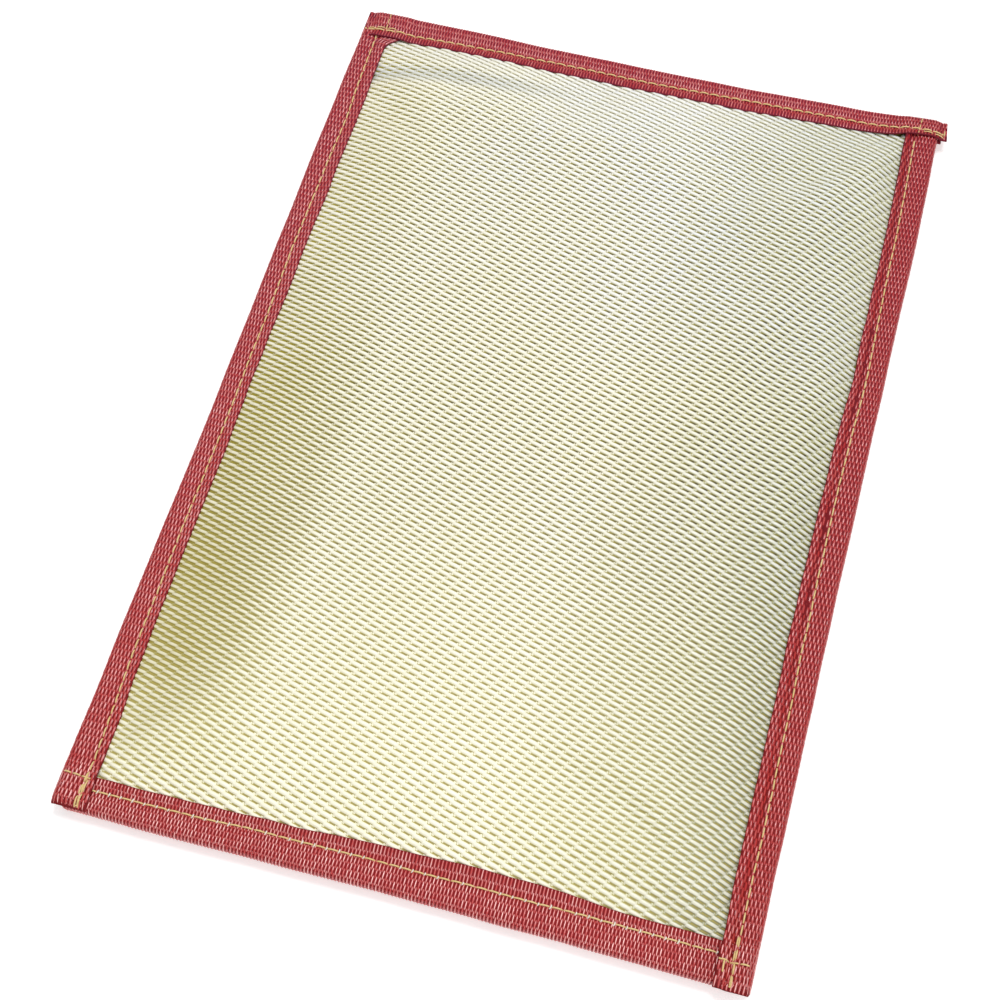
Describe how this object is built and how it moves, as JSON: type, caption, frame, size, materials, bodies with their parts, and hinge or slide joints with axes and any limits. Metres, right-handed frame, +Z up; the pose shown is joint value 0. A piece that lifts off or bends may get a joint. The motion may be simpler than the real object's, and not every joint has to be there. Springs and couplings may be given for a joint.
{
  "type": "fire blanket",
  "caption": "Flat rectangular padded fire blanket: two woven heat-resistant faces over felt, bound on all four edges with folded tape and sewn with lockstitched seams",
  "frame": {"origin": "under the middle of the pad, on the plane that it lies on", "axes": "+X along the short side, +Y along the long side towards the binding tape that overlaps its neighbours, +Z up through the pad"},
  "size_m": [0.2028, 0.3012, 0.012],
  "materials": {
    "woven_cloth": "coarse 3/1 twill of glossy cream and golden mineral-fibre yarn",
    "felt": "off-white needled fibre felt",
    "binding_tape": "crimson woven tape with glossy floats, folded over the edge",
    "sewing_thread": "pale yellow twisted heat-resistant thread"
  },
  "bodies": {
    "root": {"front_cover": "woven_cloth", "back_cover": "woven_cloth", "felt_layer_upper": "felt", "felt_layer_lower": "felt", "binding_tape_near": "binding_tape", "binding_tape_left": "binding_tape", "binding_tape_right": "binding_tape", "binding_tape_far": "binding_tape", "needle_thread_near": "sewing_thread", "bobbin_thread_near": "sewing_thread", "needle_thread_left": "sewing_thread", "bobbin_thread_left": "sewing_thread", "needle_thread_right": "sewing_thread", "bobbin_thread_right": "sewing_thread", "needle_thread_far": "sewing_thread", "bobbin_thread_far": "sewing_thread", "corner_tack_needle_near_left": "sewing_thread", "corner_tack_bobbin_near_left": "sewing_thread", "corner_tack_needle_near_right": "sewing_thread", "corner_tack_bobbin_near_right": "sewing_thread", "corner_tack_needle_far_left": "sewing_thread", "corner_tack_bobbin_far_left": "sewing_thread", "corner_tack_needle_far_right": "sewing_thread", "corner_tack_bobbin_far_right": "sewing_thread"}
  },
  "joints": []
}
